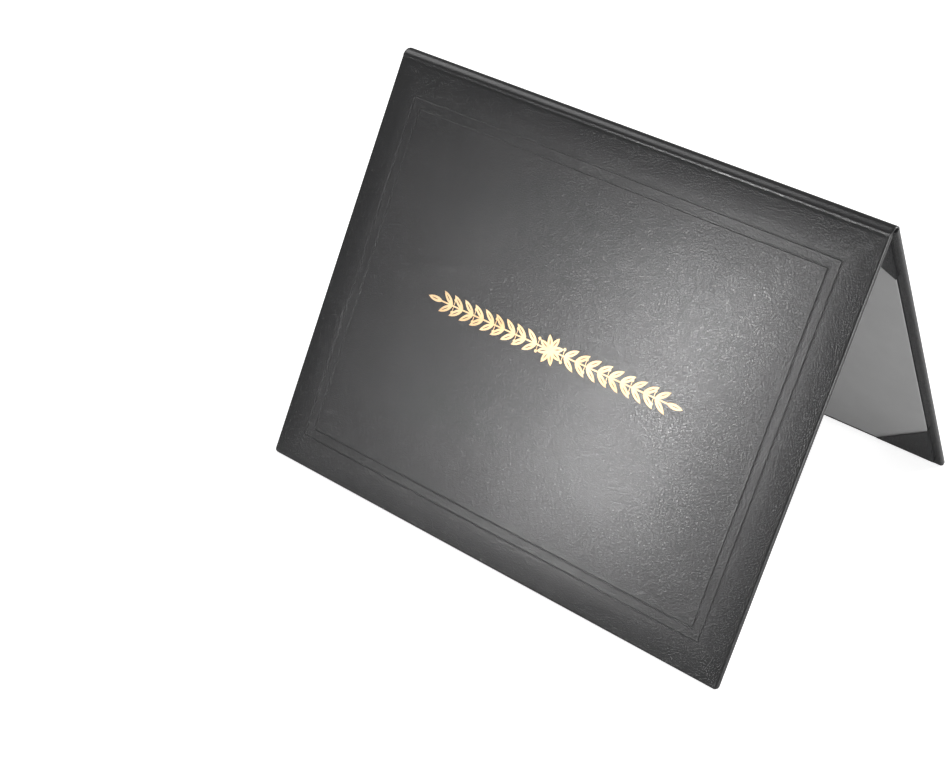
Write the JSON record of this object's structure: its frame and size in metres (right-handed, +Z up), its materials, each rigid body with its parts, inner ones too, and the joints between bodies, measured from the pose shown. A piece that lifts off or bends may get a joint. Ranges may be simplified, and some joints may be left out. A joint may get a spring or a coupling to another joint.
{
  "type": "diploma cover",
  "caption": "Padded leatherette presentation cover, tented on its fore edges, with paper linings, corner pockets for a certificate, a soft spine and a plain foil ornament.",
  "frame": {"origin": "on the surface it stands on, under the middle of the spine", "axes": "+X along the spine, to the viewer's right; +Z up; the front cover is on the -Y side and the back cover on the +Y side"},
  "size_m": [0.2922, 0.2314, 0.2034],
  "materials": {
    "leatherette": "dark grey, fine pebble grain, satin",
    "grey_board": "raw grey board",
    "foam_pad": "matt, open",
    "lining_paper": "light grey, faint mottle, matt",
    "gold_foil": "hot-stamped pale gold, bright"
  },
  "bodies": {
    "back_cover": {"back_wrap": "leatherette", "back_board": "grey_board", "back_lining": "lining_paper", "back_liner_flap": "leatherette", "pocket_fore_left": "leatherette", "pocket_fore_right": "leatherette", "pocket_spine_left": "leatherette", "pocket_spine_right": "leatherette"},
    "spine": {"spine_strip": "leatherette", "spine_liner": "leatherette"},
    "front_cover": {"front_wrap": "leatherette", "front_board": "grey_board", "front_pad": "foam_pad", "front_lining": "lining_paper", "front_liner_flap": "leatherette", "foil_ornament": "gold_foil"}
  },
  "joints": [
    {"name": "front_hinge", "type": "hinge", "parent": "spine", "child": "front_cover", "pos_m": [0, -0.00455, 0.20071], "axis": [-1, 0, 0], "range_deg": [-29.2, 60.8]},
    {"name": "back_hinge", "type": "hinge", "parent": "back_cover", "child": "spine", "pos_m": [0, 0.00455, 0.20071], "axis": [-1, 0, 0], "range_deg": [-29.2, 60.8]}
  ],
  "couplings": [
    {"joint": "back_hinge", "follows": "front_hinge", "ratio": 1}
  ]
}
